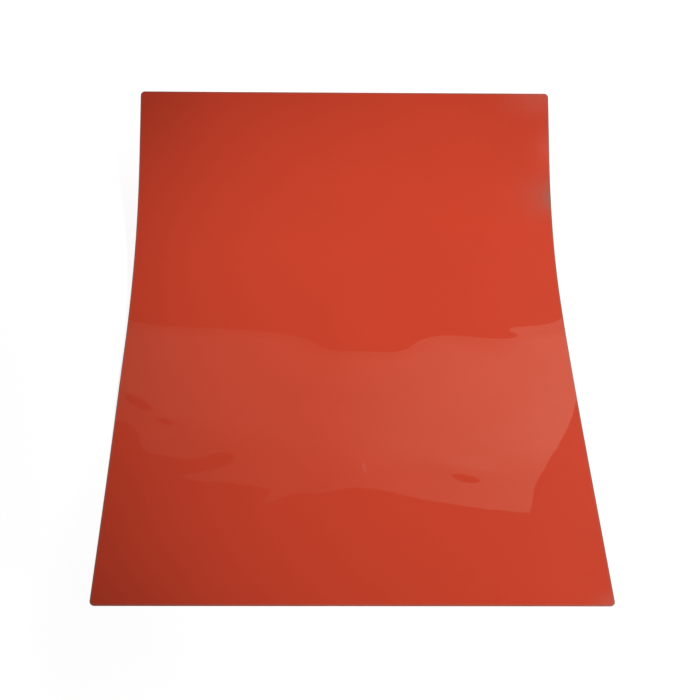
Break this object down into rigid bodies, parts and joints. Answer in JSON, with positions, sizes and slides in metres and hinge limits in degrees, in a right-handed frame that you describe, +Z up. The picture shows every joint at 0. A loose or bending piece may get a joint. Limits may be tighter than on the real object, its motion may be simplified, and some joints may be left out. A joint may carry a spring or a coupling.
{
  "type": "silicone baking mat",
  "caption": "Thin reusable baking mat of glass cloth sealed between silicone coats, lying flat at its near end with its far end curled up; lines a tray or a worktop.",
  "frame": {"origin": "on the worktop, under the middle of the ground that the curled mat covers", "axes": "+X across the mat, +Y along the mat from its flat end towards its curled end, +Z up from the worktop"},
  "size_m": [0.3, 0.382, 0.0731],
  "materials": {
    "base_silicone": "satin",
    "glass_cloth": "matte",
    "top_silicone": "gloss"
  },
  "bodies": {
    "root": {"base_coat": "base_silicone", "glass_cloth_core": "glass_cloth", "top_coat": "top_silicone"}
  },
  "joints": []
}
